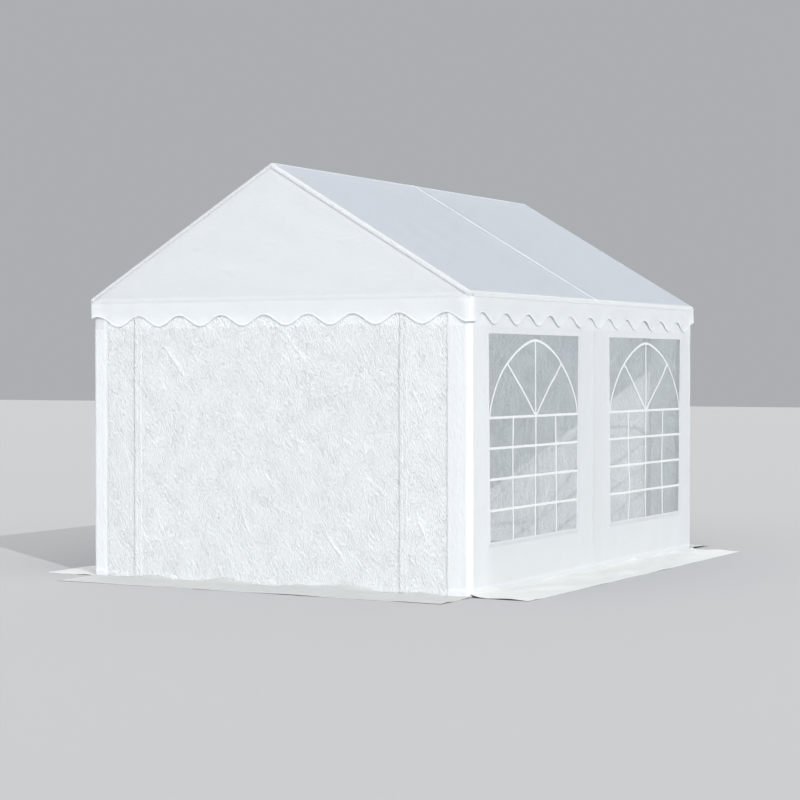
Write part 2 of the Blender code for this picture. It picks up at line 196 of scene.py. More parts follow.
def make_sheet(name, points, normals, flat, material, tone=1.0, thickness=CLOTH, holes=None, hem=0.0):
    """A closed thin sheet from a grid of points[row, column].

    The outer face is the grid and the inner face is points - thickness * normals. Rows run up and
    columns to the right, seen from outside. Cells marked in holes stay open. Tone and hem are numbers or
    grids of them, and become point attributes.
    """
    shape = points.shape[:2]
    index = np.arange(shape[0] * shape[1]).reshape(shape)
    quads = np.stack([index[:-1, :-1], index[:-1, 1:], index[1:, 1:], index[1:, :-1]], axis=-1)
    quads = quads.reshape(-1, 4) if holes is None else quads[~holes]
    used, quads = np.unique(quads, return_inverse=True)
    quads = quads.reshape(-1, 4)
    outer = points.reshape(-1, 3)[used]
    inner = outer - thickness * normals.reshape(-1, 3)[used]
    marks = {
        mark: np.tile(np.broadcast_to(values, shape).reshape(-1)[used], 2)
        for mark, values in (("tone", tone), ("hem", hem))
    }
    rim = rim_edges(quads)
    count = len(used)
    sides = np.stack([rim[:, 1], rim[:, 0], rim[:, 0] + count, rim[:, 1] + count], axis=-1)
    faces = np.concatenate([quads, quads[:, ::-1] + count, sides])
    places = np.tile(flat.reshape(-1, 2)[used], (2, 1))
    piece = put_mesh(name, np.concatenate([outer, inner]), faces, places, marks, material)
    corners = outer[quads]
    diagonals = corners[:, 2] - corners[:, 0], corners[:, 3] - corners[:, 1]
    area = 0.5 * np.linalg.norm(np.cross(*diagonals), axis=1).sum()
    print(f"{name}: {len(faces) * 2} triangles, {area:.3f} square metres")
    return piece


# %% [markdown]
# ## Crumple
#
# Coated cloth that was folded in a bag keeps its creases. Two things make them here. Waves are a sum of
# cosines in all directions, and where their absolute value is taken they meet in sharp crests like
# crushed paper. Over them go single creases: long thin humps, each with a shallow dip along its lower
# side. On this tent they lean from the upper left to the lower right, the way the cloth was folded.

# %% Crumple helpers
COSINES = 26
HUMP_REACH = 1.7  # a hump is worked out as far as this many of its lengths


def across_and_along(u, v, lean):
    """Places measured across and along a line that leans from upright by lean, in radians."""
    return u * math.cos(lean) + v * math.sin(lean), v * math.cos(lean) - u * math.sin(lean)


def waves(u, v, seed, length, stretch=1.0, lean=0.0):
    """Random waves of about unit size: a sum of cosines, evenly strong, in all directions.

    Their crests are length apart, and stretch times as long along the lean.
    """
    rng = np.random.default_rng(seed)
    across, along = across_and_along(u, v, lean)
    total = np.zeros(np.broadcast(u, v).shape)
    for turn, size, phase in rng.uniform((0, 0.6, 0), (math.pi, 1.7, 2 * math.pi), (COSINES, 3)):
        pull = 2 * math.pi * size / length
        total += np.cos(pull * (math.cos(turn) * across + math.sin(turn) / stretch * along) + phase)
    return total / math.sqrt(COSINES / 2)


def hump(across, width, dip, gap, spread):
    """A bell, less dip times a bell spread times as wide whose middle is gap widths to the side."""
    return bell(across, width) - dip * bell(across + gap * width, spread * width)


def creases(u, v, seed, count, length, width, height, lean, spread, area=(-1.5, 1.5, 0, 2)):
    """The sum of count humps, each its height times a hump across and a bell along it.

    They are strewn over area, a part of the flat cloth. Each one's place, lean from upright, length,
    width, height and bow are drawn at random.
    """
    rng = np.random.default_rng(seed)
    total = np.zeros(u.shape)
    for _ in range(count):
        middle_u, middle_v = rng.uniform(area[0], area[1]), rng.uniform(area[2], area[3])
        turn = lean + rng.normal(0, spread)
        long = length * rng.uniform(0.3, 1.0) ** 1.6
        wide = width * rng.uniform(0.75, 1.25)
        high = height * rng.uniform(0.2, 1.0) ** 1.3
        bow = rng.normal(0, 0.10) / long
        near = (np.abs(u - middle_u) < HUMP_REACH * long) & (np.abs(v - middle_v) < HUMP_REACH * long)
        across, along = across_and_along(u[near] - middle_u, v[near] - middle_v, turn)
        across = across + bow * along**2
        total[near] += high * hump(across, wide, 0.45, 2, 1.5) * bell(along, long, 4)
    return total


print("across a hump, from its dip to its crest:", hump(np.arange(-3.0, 1.0), 1, 0.45, 2, 1.5).round(2))

# %% [markdown]
# ## Shader sums
#
# A material's maths is easier to read as an expression than as a list of nodes. A Wire holds one output
# socket. Adding, multiplying or subtracting wires adds the Math nodes for it, so `1 - mask * 2` builds
# itself. A Finish is a material with one Principled shader, and its node method makes any other node.

# %% Wires and finishes
class Wire:
    """One output socket that can be used in sums."""

    def __init__(self, finish, socket):
        self.finish = finish
        self.socket = socket

    def maths(self, operation, other=0.0, swapped=False):
        """A Math node on this wire and another wire or number, in that order or swapped."""
        values = (other, self) if swapped else (self, other)
        return self.finish.node("ShaderNodeMath", {"operation": operation}, dict(enumerate(values)))

    __add__ = __radd__ = partialmethod(maths, "ADD")
    __mul__ = __rmul__ = partialmethod(maths, "MULTIPLY")
    __sub__ = partialmethod(maths, "SUBTRACT")
    __rsub__ = partialmethod(maths, "SUBTRACT", swapped=True)
    __abs__ = partialmethod(maths, "ABSOLUTE")
    sine = partialmethod(maths, "SINE")

    def ramp(self, low, high):
        """0 at low and 1 at high, with smooth ends."""
        settings = {"interpolation_type": "SMOOTHSTEP"}
        return self.finish.node("ShaderNodeMapRange", settings, {"Value": self, 1: low, 2: high})


class Finish:
    """A material with one Principled shader, and a method that adds any node to it."""

    def __init__(self, name, **constants):
        self.material = bpy.data.materials.new(name)
        self.material.use_nodes = True
        self.tree = self.material.node_tree
        self.shader = self.tree.nodes["Principled BSDF"]
        self.set(**constants)

    def feed(self, socket, value):
        """Link a wire to a socket, or set a value; a colour's fourth number is always 1."""
        if isinstance(value, Wire):
            self.tree.links.new(value.socket, socket)
        elif socket.type == "RGBA":
            socket.default_value = (*value, 1)
        else:
            socket.default_value = value

    def node(self, kind, settings, inputs, output=0):
        """Add a node, change its settings, then set or link its sockets, named or numbered."""
        added = self.tree.nodes.new(kind)
        for name, value in settings.items():
            setattr(added, name, value)
        for key, value in inputs.items():
            self.feed(added.inputs[key], value)
        return Wire(self, added.outputs[output])

    def set(self, **values):
        """Feed the shader's own sockets, with _ for each space in their names."""
        for name, value in values.items():
            self.feed(self.shader.inputs[name.replace("_", " ")], value)

    def flat(self):
        """The piece's place on the flat cloth, in metres, as a vector."""
        return self.node("ShaderNodeUVMap", {"uv_map": "flat"}, {})

    def mark(self, name):
        """The piece's tone or hem."""
        return self.node("ShaderNodeAttribute", {"attribute_name": name}, {}, output="Fac")

    def parts(self, vector):
        """A vector's three numbers."""
        split = self.tree.nodes.new("ShaderNodeSeparateXYZ")
        self.tree.links.new(vector.socket, split.inputs[0])
        return [Wire(self, output) for output in split.outputs]

    def drawn_out(self, vector, share, lean=0.0):
        """The place turned upright from its lean and then shrunk upwards, which draws out a noise."""
        upright = self.node("ShaderNodeMapping", {}, {"Vector": vector, "Rotation": (0, 0, -lean)})
        return self.node("ShaderNodeMapping", {}, {"Vector": upright, "Scale": (1, share, 1)})

    def noise(self, vector, scale, detail=2.0, roughness=0.5, bend=0.0):
        """Clouds from 0 to 1, of which scale fit in a metre."""
        sockets = ("Vector", "Scale", "Detail", "Roughness", "Distortion")
        values = (vector, scale, detail, roughness, bend)
        return self.node("ShaderNodeTexNoise", {}, dict(zip(sockets, values)))

    def mix(self, factor, first, second):
        """Mix two colours."""
        return self.node("ShaderNodeMix", {"data_type": "RGBA"}, {0: factor, 6: first, 7: second}, output=2)

    def scaled(self, colour, factor):
        """A colour times a number."""
        return self.node("ShaderNodeVectorMath", {"operation": "SCALE"}, {0: colour, "Scale": factor})

    def bump(self, height, distance, strength=1.0, normal=None):
        """A bumped normal from a height of 0 to 1, where 1 stands distance metres proud."""
        inputs = {"Strength": strength, "Distance": distance, "Height": height}
        if normal is not None:
            inputs["Normal"] = normal
        return self.node("ShaderNodeBump", {}, inputs)

    def let_light_through(self, share, colour):
        """Mix the shader with one that passes light to the far side, as thin cloth does."""
        output = self.tree.nodes["Material Output"]
        through = self.node("ShaderNodeBsdfTranslucent", {}, {"Color": colour})
        shader = Wire(self, self.shader.outputs[0])
        both = self.node("ShaderNodeMixShader", {}, {0: share, 1: shader, 2: through})
        self.tree.links.new(both.socket, output.inputs["Surface"])


# %% [markdown]
# ## Tarpaulin
#
# The cloth is woven from plastic tape about 2.5 mm wide and coated on both sides, so it is smooth with a
# dull shine, shows its weave close up, and is covered with fine crumple. A photograph wrapped on it
# would be quicker, but noise stretched along the creases keeps its scale and never repeats. The bigger
# creases are in the mesh itself. The gables' coating has gone white along its creases, the sides are
# calmer and coarser, and the roof's doubled cloth is paler, duller and lumpy.

# %% The cloth's finish
WEAVE = 0.0025
CREASE_LEAN = 0.42
DASH_TURN, CREASE_TURN = 0.42, 1.3  # how far dashes and long creases lean, for a lean of 1
DASH_DRAWN, CREASE_DRAWN, GRAIN_DRAWN = 0.28, 0.11, 0.035  # the smaller, the longer
CREASES_A_METRE, GRAINS_A_METRE, LUMPS_A_METRE, PATCHES_A_METRE = 48, 95, 26, 7.5
DULLNESS = 0.42


def tarpaulin(
    name, colour, through, crumple, dashes,
    lean=CREASE_LEAN, grain_size=0.0003, fineness=122, white=0, hem=None,
):
    """Coated cloth. Its bump adds weave, grain up the cloth, short dashes and long thin creases.

    Dashes are a noise drawn out along the lean, fineness of them in a metre. A crease is where a coarser
    noise is near its middle value. A third noise gathers both in patches. Grain_size, dashes and crumple
    are their heights in metres, and white is 1 where creases pale the colour more. The piece's tone
    multiplies the colour, and where its hem mark is 1 the cloth has the hem's colour.
    """
    cloth = Finish(name, Specular_IOR_Level=0.4)
    flat = cloth.flat()
    across, up, _ = cloth.parts(flat)
    tapes = (across * (math.pi / WEAVE)).sine() * (up * (math.pi / WEAVE)).sine()
    coarse = cloth.noise(cloth.drawn_out(flat, CREASE_DRAWN, CREASE_TURN * lean), CREASES_A_METRE, detail=1.5)
    fine = cloth.noise(cloth.drawn_out(flat, DASH_DRAWN, DASH_TURN * lean), fineness, roughness=0.65)
    grain = cloth.noise(cloth.drawn_out(flat, GRAIN_DRAWN), GRAINS_A_METRE, roughness=0.7)
    clouds = cloth.noise(flat, 1.7, detail=4, roughness=0.6)
    patches = cloth.noise(flat, PATCHES_A_METRE).ramp(0.34, 0.64)
    creased = abs(coarse * 2 - 1).ramp(0.07, 0.0) * (0.15 + patches * 0.85)
    dashed = fine.ramp(0.32, 0.68) * (0.9 + patches * 0.1)
    shade = (
        0.9625 - 0.012 * white + clouds * 0.02 + grain * 0.022
        + dashed * (0.018 + 0.014 * white) + creased * (0.008 + 0.022 * white) + tapes * 0.003
    )
    normal = cloth.bump(tapes, 0.0001, strength=0.6)
    for height, distance in ((grain, grain_size), (dashed, dashes), (creased, crumple)):
        normal = cloth.bump(height, distance, normal=normal)
    tint, rough = colour, DULLNESS
    if hem:
        doubled = cloth.mark("hem")
        tint = cloth.mix(doubled, colour, hem)
        rough = rough + doubled * 0.4
        through = through * (1 - doubled * 0.5)
        normal = cloth.bump(cloth.noise(flat, LUMPS_A_METRE, detail=1) * doubled, 0.005, normal=normal)
    cloth.set(
        Base_Color=cloth.scaled(tint, cloth.mark("tone") * shade),
        Roughness=rough + clouds * 0.1 - creased * 0.04,
        Normal=normal,
    )
    cloth.let_light_through(through, colour)
    print(f"{name}: {len(cloth.tree.nodes)} nodes")
    return cloth.material


wall_cloth = tarpaulin("wall_tarpaulin", (0.905, 0.925, 0.938), 0.36, crumple=0.0019, dashes=0.0043, white=1)
side_cloth = tarpaulin(
    "side_tarpaulin", (0.803, 0.821, 0.836), 0.42, crumple=0.0003, dashes=0.0014, lean=0.1, fineness=66
)
gable_cloth = tarpaulin(
    "gable_tarpaulin", (0.908, 0.926, 0.941), 0.45, crumple=0.0005, dashes=0.0004, lean=1.35
)
roof_cloth = tarpaulin(
    "roof_tarpaulin", (0.742, 0.772, 0.812), 0.62, crumple=0.0004, dashes=0.0028, lean=1.2,
    grain_size=0.0010, hem=(0.88, 0.90, 0.915),
)
skirt_cloth = tarpaulin("skirt_tarpaulin", (0.79, 0.81, 0.80), 0.1, crumple=0.0012, dashes=0.0006, lean=0.8)

# %% [markdown]
# ## Roof cover
#
# On the real tent the roof is one sheet, pulled over the ridge, round the eave tubes and down a little
# over both gable tubes, where it is hemmed. Two flat planes would show hard folds. Here one formula
# carries a profile (arc over the ridge, straight slope, arc round the eave, short hem) along the ridge,
# and rounds its two ends over the gables in the same way.

# %% The roof's formula
HEM = 0.012  # the cloth ends this far below an eave tube's middle
LIP = 0.006  # and this far below a gable tube's
RIDGE_ARC = BEND * PITCH
EAVE_TURN = math.pi / 2 - PITCH
EAVE_START = RIDGE_ARC + SLOPE
HALF_PROFILE = QUARTER + SLOPE + HEM
HALF_RIDGE = EDGE_Y + QUARTER + LIP


def roof_point(s, t):
    """Point and normal of the roof, s metres from the ridge to the right and t from the middle arch back.

    The normal leans a radians above the right, from 90 degrees at the ridge down to 0 at the hem, and
    b radians towards the gable. The point is its centre line plus BEND times that normal, less the
    straight falls below the two arcs.
    """
    reach = np.abs(s)
    along = np.clip(reach - RIDGE_ARC, 0, SLOPE)
    turned = np.clip((reach - RIDGE_ARC - SLOPE) / BEND, 0, EAVE_TURN)
    a = math.pi / 2 - np.clip(reach / BEND, 0, PITCH) - turned
    b = np.clip((np.abs(t) - EDGE_Y) / BEND, 0, math.pi / 2) * np.sign(t)
    hem = np.maximum(reach - RIDGE_ARC - SLOPE - BEND * EAVE_TURN, 0)
    lip = np.maximum(np.abs(t) - EDGE_Y - QUARTER, 0) / math.cos(PITCH)
    normal = stacked(np.sign(s) * np.cos(b) * np.cos(a), np.sin(b), np.cos(b) * np.sin(a))
    x = np.sign(s) * along * math.cos(PITCH)
    y = np.clip(t, -EDGE_Y, EDGE_Y)
    z = RIDGE_Z - along * math.sin(PITCH) - hem
    point = stacked(x, y, z) + BEND * normal
    point[..., 2] = np.maximum(point[..., 2] - lip, EDGE_Z - HEM)
    return point, normal


print(f"the roof is {2 * HALF_PROFILE:.3f} m over the ridge and {2 * HALF_RIDGE:.3f} m long, laid flat")

# %% [markdown]
# ## The roof's relief
#
# The cloth sags about a centimetre between the arches. A welt runs over the middle arch, with a strip
# of doubled cloth under it, and a narrow doubled band lies over the ridge. The hems round the eaves and
# over the gable tubes are doubled too. The light falls off round an eave tube and grows again over a
# lip's edge, and a row of tones gives that.

# %% Make the roof cover
ROOF_SAG = 0.010
WELT_HALF = 0.010
WELT_HEIGHT = 0.003
LAP = 0.10  # half the width of the strip under the welt
LAP_HEIGHT = 0.0008
RIDGE_BAND = 0.009  # the doubled cloth over the ridge goes this far past its arc
PLAIN_STEP = 0.022
WELT_TONE, RIDGE_TONE = 0.95, 0.97
LIP_TONE, FAR_LIP_TONE, LIP_EDGE = 0.62, 0.66, 0.26
EAVE_TONES = ([0, 0.15, 0.4, 0.8, 1], [0.88, 0.72, 0.76, 0.86, 0.93])  # shares of the turn, and tones
ridge_end = RIDGE_ARC + RIDGE_BAND
eave_end = HALF_PROFILE - HEM
half_s = joined(
    stations(0, RIDGE_ARC, ridge_end, step=0.005),
    stations(ridge_end, EAVE_START - 0.02, step=PLAIN_STEP),
    stations(EAVE_START - 0.02, EAVE_START, eave_end, HALF_PROFILE, step=0.0035),
)
half_t = joined(
    stations(0, WELT_HALF, WELT_HALF * 2, step=0.0027),
    stations(WELT_HALF * 2, LAP - 0.002, LAP, EDGE_Y - 0.02, step=PLAIN_STEP),
    stations(EDGE_Y - 0.02, EDGE_Y, EDGE_Y + QUARTER, HALF_RIDGE, step=0.0055),
)
s, t = np.meshgrid(both_ways(half_s), both_ways(half_t))
points, normals = roof_point(s, t)
reach, away = np.abs(s), np.abs(t)
on_slope = reach < EAVE_START
hanging = np.sin(math.pi * np.clip((reach - RIDGE_ARC) / SLOPE, 0, 1))
sag = ROOF_SAG * hanging * np.sin(math.pi * np.clip(away / EDGE_Y, 0, 1)) ** 0.8
loose = hanging * smooth(EDGE_Y - away, 0, 0.15)
relief = -sag + 0.0012 * loose * waves(s, t, 11, 0.5, stretch=2.0, lean=math.pi / 2)
welt = np.sqrt(np.clip(1 - (t / (WELT_HALF * 1.2)) ** 2, 0, 1))
relief += WELT_HEIGHT * (welt - 0.3 * bell(away - 1.8 * WELT_HALF, 0.005)) * on_slope
relief += LAP_HEIGHT * (away < LAP - 0.001) * on_slope
points += normals * relief[..., None]

eave_hem = smooth(reach, EAVE_START - 0.012, EAVE_START - 0.004)
lip_hem = smooth(away, EDGE_Y - 0.004, EDGE_Y + 0.004)
ridge_hem = smooth(reach, ridge_end, ridge_end - 0.004)
turn = np.clip((reach - EAVE_START) / (eave_end - EAVE_START), 0, 1)
tone = 1 + (np.interp(turn, *EAVE_TONES) - 1) * eave_hem
tone = np.where(welt > 0.1, WELT_TONE, tone) + 0.03 * smooth(reach, 0.25, 0.10)
tone += (RIDGE_TONE - tone) * ridge_hem
lip_tone = np.where(s * t > 0, FAR_LIP_TONE, LIP_TONE) + LIP_EDGE * np.clip((away - EDGE_Y) / QUARTER, 0, 1)
tone = np.where(lip_hem > 0, 1 + (lip_tone - 1) * lip_hem, tone)
hem = np.maximum(np.maximum(eave_hem, lip_hem), 0.7 * np.maximum(welt > 0.1, ridge_hem))
roof_cover = make_sheet("roof_cover", points, normals, stacked(s, t), roof_cloth, tone, hem=hem)
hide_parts("roof_slope_left", "roof_slope_right")

# %% [markdown]
# ## Gable cloths
#
# The triangle in each gable is sewn behind the roof's lip and behind the valance. It is a grid whose
# columns reach from the eave line to the rafter. The cloth is pulled back where it meets the rafter
# tube, which leaves a soft groove along the lip, and it has a few short creases that lie nearly level.

# %% Make the gable cloths
GROOVE = 0.0022
GROOVE_END = 0.045
GABLE_INSET = 0.0026
FOOT = EDGE_Z - 0.02


def make_gable_cloth(end, turned, seed):
    """A triangle: column x reaches from its foot up to RIDGE_Z - |x| tan(pitch)."""
    xs = stations(-EDGE_X, -0.006, 0, 0.006, EDGE_X, step=0.018)
    x, share = np.meshgrid(xs, np.linspace(0, 1, 70))
    top = RIDGE_Z - np.abs(x) * math.tan(PITCH)
    z = FOOT + (top - FOOT) * share
    from_rafter = (top - z) * math.cos(PITCH)
    grooved = smooth(from_rafter, GROOVE_END, LIP)
    groove = GROOVE * (0.25 + 0.75 * smooth(x, -0.05, 0.05))
    inside = smooth(from_rafter, 0.03, 0.15) * smooth(z, FOOT + 0.02, FOOT + 0.12)
    folds = creases(x, z, seed + 1, 22, 0.07, 0.012, 0.0016, 1.35, 0.15, (-1.2, 1.2, EDGE_Z, RIDGE_Z))
    y = -(roof_high.y - GABLE_INSET) + groove * grooved
    y = y - inside * (0.0007 * waves(x, z, seed, 0.55, 0.6) + folds)
    points, normals = placed(x, y, z, (0, -1, 0), turned)
    tone = 0.88 + 0.015 * smooth(np.abs(x), 0.006, 0.004) - 0.02 * grooved * (x > 0)
    piece = make_sheet(f"gable_cloth_{end}", points, normals, stacked(x + seed, z), gable_cloth, tone)
    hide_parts(f"gable_panel_{end}")


make_gable_cloth("front", AS_MADE, 21)
make_gable_cloth("back", HALF_TURN, 31)

# %% [markdown]
# ## A walk round the tent
#
# The valance and the walls go round the tent and are rounded over its corner posts. One formula serves
# them all: a walk along a rectangle whose corners are arcs. A place on the walk is a length in metres,
# counted from the front left corner, and it runs along the front, the right, the back and the left.

# %% The walk
class Walk:
    """A rectangle of half_x by half_y whose corners are rounded with radius, walked anticlockwise.

    The centre line clips the length to each straight side in turn. The heading grows by a quarter turn
    over each arc, and the point is the centre line plus radius times the outward normal.
    """

    def __init__(self, half_x, half_y, radius):
        self.halves = (half_x, half_y)
        self.radius = radius
        self.arc = radius * math.pi / 2
        self.sides = [2 * half_x, 2 * half_y] * 2
        self.starts = [sum(self.sides[:n]) + n * self.arc for n in range(4)]
        self.length = sum(self.sides) + 4 * self.arc
        print(f"walk of {self.length:.3f} m")

    def at(self, place):
        """Points at the ground below the places, and their normals."""
        place = np.mod(place, self.length)
        gone = [np.clip(place - start, 0, side) for start, side in zip(self.starts, self.sides)]
        turns = [np.clip(place - start - side, 0, self.arc) for start, side in zip(self.starts, self.sides)]
        angle = sum(turns) / self.radius - math.pi / 2
        normal = stacked(np.cos(angle), np.sin(angle), 0.0)
        x = -self.halves[0] + gone[0] - gone[2]
        y = -self.halves[1] + gone[1] - gone[3]
        return stacked(x, y, 0.0) + self.radius * normal, normal


valance_walk = Walk(EDGE_X, EDGE_Y, BEND - 0.0020)

# %% [markdown]
# ## Valance
#
# The scalloped strip is one long sheet sewn under the roof's hem all round. Its lower edge is a cosine,
# lowest at the front right corner and, half a turn on, at the back left one. The hem along the edge is
# a small fold, so the first few millimetres are thicker. The strip leans in a little towards the walls
# and flutters by a few millimetres. Over the gables its top lies on the triangle's cloth, and the tone
# evens out the step there.

# %% The valance's edge
PERIOD = 0.3465
TROUGH = valance_low.z
CREST = 1.838
SIDE_SHIFT = 0.026
CORNER_RAISE = 0.014


def scallop(distance):
    """Height of the edge, at a distance from the corner where it is lowest."""
    return (CREST + TROUGH) / 2 - (CREST - TROUGH) / 2 * np.cos(2 * math.pi * distance / PERIOD)


def scallop_round(place):
    """The edge's height on the whole walk: the front and the right, then both again.

    On the front the distance runs back from the right corner, and on the right away from it. Over a
    corner the height goes evenly from one side's end to the other's start.
    """
    front, right = valance_walk.sides[:2]
    arc = valance_walk.arc
    p = np.mod(place, valance_walk.length / 2)
    end = np.clip((p - front - arc - right) / arc, 0, 1)
    height = np.where(p <= front, scallop(np.clip(front - p, 0, front)), TROUGH)
    gone = np.clip(p - front - arc, 0, right)
    shift = SIDE_SHIFT * smooth(gone, 2.4, 0.2) * smooth(gone, 0, 0.1)
    height = np.where(p > front + arc, scallop(gone + shift), height)
    raised = CORNER_RAISE * bell(p - front - arc / 2, 0.06)
    return height + end * (scallop(front) - scallop(right)) + raised


# %% Make the valance
FOLD = 0.009
FOLD_ROWS = np.array([0, 0.0015, FOLD - 0.0015, FOLD])
PLAIN_ROWS = 15
GABLE_LEAN, SIDE_LEAN = 0.0138, 0.0105
WIDE_BAND = wall_high.x - wall_low.x
corner_spots = [
    stations(start + side, start + side + valance_walk.arc, step=0.0045)
    for start, side in zip(valance_walk.starts, valance_walk.sides)
]
spots = joined(stations(0, valance_walk.length, step=0.0095), *corner_spots)
place, row = np.meshgrid(spots, np.arange(len(FOLD_ROWS) + PLAIN_ROWS))
in_fold = row < len(FOLD_ROWS)
low = scallop_round(place)
points, normals = valance_walk.at(place)
from_middle_x, from_middle_y = np.abs(points[..., 0]), np.abs(points[..., 1])
on_side, on_gable = np.abs(normals[..., 0]) > 0.99, np.abs(normals[..., 1]) > 0.99
roof_line = EDGE_Z + (EDGE_X - from_middle_x) * math.tan(PITCH)
high = np.where(on_gable, np.clip(roof_line - 0.03, EDGE_Z, EAVE_HEIGHT), EDGE_Z)
share = np.clip((row - len(FOLD_ROWS) + 1) / PLAIN_ROWS, 0, 1)
z = low + FOLD_ROWS[np.minimum(row, len(FOLD_ROWS) - 1)] + (high - low - FOLD) * share
from_top = high - z
hang = smooth(from_top, 0, 0.16)
from_corner = np.where(on_gable, EDGE_X - from_middle_x, EDGE_Y - from_middle_y)
lean_in = smooth(from_corner, 0.01, 0.12) * (GABLE_LEAN * on_gable + SIDE_LEAN * on_side)
ripple = np.where(on_gable, 0.4, 1) * 0.0020 * waves(place, z, 41, 0.33, 3.0)
ripple += 0.0004 * waves(place, z, 42, 0.11, 2.0, lean=0.3)
folded = 0.0004 * ((row > 0) & (row < len(FOLD_ROWS) - 1))
points += normals * (hang * (ripple - lean_in) + folded)[..., None]
points[..., 2] = z

over_band = on_gable & (np.abs(points[..., 0]) > WALL_X - WIDE_BAND)
evened = 0.050 * bell(from_top - 0.034, 0.010) - 0.055 * smooth(from_top, 0.027, 0.018)
tone = 0.94 + (0.095 + evened) * on_gable - 0.02 * over_band - 0.01 * in_fold
half_way = np.mod(place, valance_walk.length / 2)
from_low_corner = np.abs(half_way - valance_walk.sides[0] - valance_walk.arc / 2)
tone += 0.04 * smooth(from_low_corner, 0.055, 0.045)
tone += 0.05 * on_side * smooth(z, EDGE_Z - HEM - 0.016, EDGE_Z - HEM - 0.004)
valance = make_sheet("valance", points, normals, stacked(place, z), gable_cloth, tone)
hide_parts("valance_front", "valance_right", "valance_back", "valance_left")

# %% [markdown]
# ## Long walls
#
# Each long side is two panels that meet in the middle, and each panel wraps round its corner post onto
# the gable as a band. A panel is a strip of the same walk, from the ground to the eave, with its window
# left out of the grid. The window is a little narrower at its sill than at its head. Hems go round it
# and along the edges: the cloth lies double there, so it is raised and a little paler. The sewn edges
# get a low puckered tape, which is a sheet of its own.

# %% The window opening and the hem tapes
TAPE_HALF = 0.006
TAPE_HEIGHT = 0.0018
TAPE_PROFILE = np.array([-1, -0.93, -0.6, -0.2, 0.2, 0.6, 0.93, 1])
PUCKER = 0.033
FILM_OVERLAP, SIDE_OVERLAP = 0.015, 0.003
TAPER = 0.030
CORNER_BEND = 0.034
opening_near = -film_high.y + SIDE_OVERLAP
opening_far = -film_low.y - SIDE_OVERLAP
opening_sill = film_low.z + FILM_OVERLAP
opening_head = film_high.z - FILM_OVERLAP
wall_walk = Walk(WALL_X - CORNER_BEND, WALL_Y - CORNER_BEND, CORNER_BEND)
corner_right_front = wall_walk.sides[0]
right_start = corner_right_front + wall_walk.arc
right_end = right_start + wall_walk.sides[1]


def narrowed(z):
    """How far each side of a window moves in at height z: nothing at its head, TAPER at its sill."""
    return TAPER * np.clip((opening_head - z) / (opening_head - opening_sill), 0, 1)


def place_on_right(y):
    """The walk's length at a place y on the right side."""
    return right_start + y + (WALL_Y - CORNER_BEND)


def make_tape(name, place, half, seed):
    """A low rib up the wall at a place on the walk, or half the walk further on, puckered by stitches.

    Its height is an arch across the tape, times 0.6 + 0.4 cosine of the height over the stitch length.
    """
    offset, z = np.meshgrid(TAPE_HALF * TAPE_PROFILE, stations(0.004, WALL_TOP, step=PUCKER / 8))
    drift = PUCKER * 0.35 * waves(z, 0 * z, seed, 0.3)
    pucker = 0.6 + 0.4 * np.cos(2 * math.pi * (z + drift) / PUCKER)
    wander = 0.0006 * waves(z, 0 * z, seed + 1, 0.2)
    points, normals = wall_walk.at(place + half + offset + wander)
    lift = 0.0009 + TAPE_HEIGHT * pucker * (1 - (offset / TAPE_HALF) ** 2)
    points = points + normals * lift[..., None]
    points[..., 2] = z
    tape = make_sheet(name, points, normals, stacked(place + offset, z), side_cloth, 1.05, thickness=0.0008)
    return tape


# %% [markdown]
# ## One panel
#
# The front and the back panel are mirror images as far as their edges go, so places on a panel are
# counted from its band's edge and from the seam. The front panel ends in the middle seam's tape.

# %% Make the long walls
WINDOW_HEM = 0.02
FOOT_HEM = 0.045
TOP_HEM = 1.75
EDGE_HEM = 0.012
CORNER_STRIP = 0.005
OVERLAP = 0.17
BESIDE = 0.001  # a hem's step is this wide
NARROW_BAND = wall_high.x - back_wall_low.x
SEAM = wall_high.y


